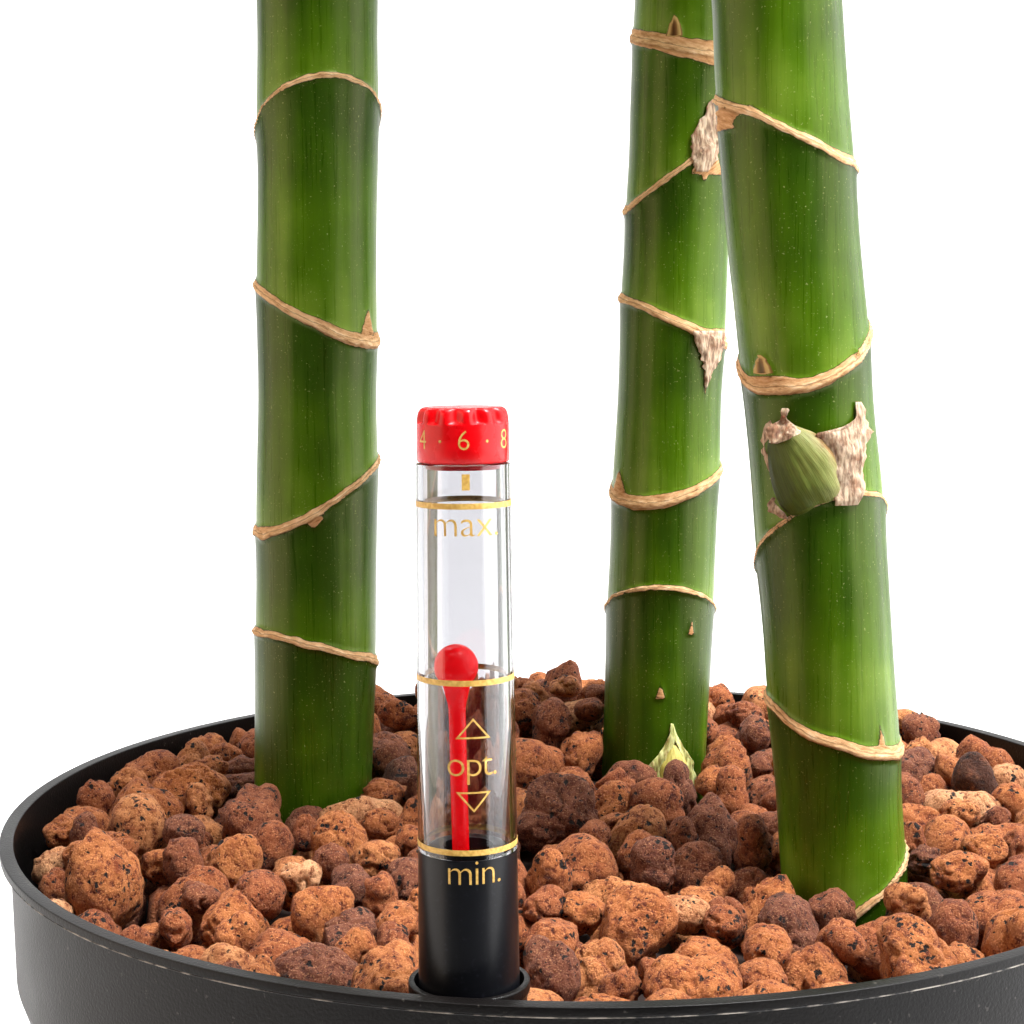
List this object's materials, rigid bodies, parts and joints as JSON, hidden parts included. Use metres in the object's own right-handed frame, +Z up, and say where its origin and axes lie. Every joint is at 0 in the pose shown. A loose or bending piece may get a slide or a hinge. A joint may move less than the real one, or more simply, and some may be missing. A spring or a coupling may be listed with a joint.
{
  "type": "potted dracaena with water gauge",
  "caption": "Dracaena canes in expanded clay granules, in a dark plastic culture pot with a clear water gauge whose red float slides and whose red month dial turns.",
  "frame": {"origin": "centre of the pot's flat base", "axes": "+Z up, the water gauge stands at the front of the rim, towards -Y"},
  "size_m": [0.3615, 0.3318, 0.747],
  "materials": {
    "pot_plastic": "fine-textured charcoal plastic",
    "clay": "rough porous fired clay",
    "cane": "smooth waxy green bark with tan scars",
    "bud": "satin green bud with dry sheath",
    "leaf": "satin leaf",
    "clear_plastic": "clear polished plastic",
    "black_plastic": "satin black plastic",
    "red_plastic": "glossy red plastic",
    "foam": "closed-cell foam"
  },
  "bodies": {
    "potted_plant": {"base_bud": "bud", "cane_back": "cane", "cane_left": "cane", "cane_right": "cane", "culture_pot": "pot_plastic", "gauge_sleeve": "black_plastic", "gauge_tube": "clear_plastic", "granule_01": "clay", "granule_02": "clay", "granule_03": "clay", "granule_04": "clay", "granule_05": "clay", "granule_06": "clay", "granule_07": "clay", "granule_08": "clay", "granule_09": "clay", "granule_10": "clay", "granule_11": "clay", "granule_12": "clay", "granule_13": "clay", "granule_14": "clay", "granule_15": "clay", "granule_16": "clay", "granule_bed": "clay", "leaf_back_1": "leaf", "leaf_back_2": "leaf", "leaf_back_3": "leaf", "leaf_back_4": "leaf", "leaf_back_5": "leaf", "leaf_back_6": "leaf", "leaf_back_7": "leaf", "leaf_back_8": "leaf", "leaf_back_9": "leaf", "leaf_left_1": "leaf", "leaf_left_2": "leaf", "leaf_left_3": "leaf", "leaf_left_4": "leaf", "leaf_left_5": "leaf", "leaf_left_6": "leaf", "leaf_left_7": "leaf", "leaf_left_8": "leaf", "leaf_right_1": "leaf", "leaf_right_2": "leaf", "leaf_right_3": "leaf", "leaf_right_4": "leaf", "leaf_right_5": "leaf", "leaf_right_6": "leaf", "leaf_right_7": "leaf", "leaf_right_8": "leaf", "side_bud": "bud"},
    "dial": {"month_dial": "red_plastic"},
    "float": {"float_pointer": "red_plastic", "float_body": "foam"}
  },
  "joints": [
    {"name": "dial_turn", "type": "hinge", "parent": "potted_plant", "child": "dial", "pos_m": [-0.0156, -0.0973, 0.2636], "axis": [0, 0, 1], "continuous": true},
    {"name": "float_slide", "type": "slide", "parent": "potted_plant", "child": "float", "axis": [0, 0, 1], "range_m": [-0.023, 0.022]}
  ]
}
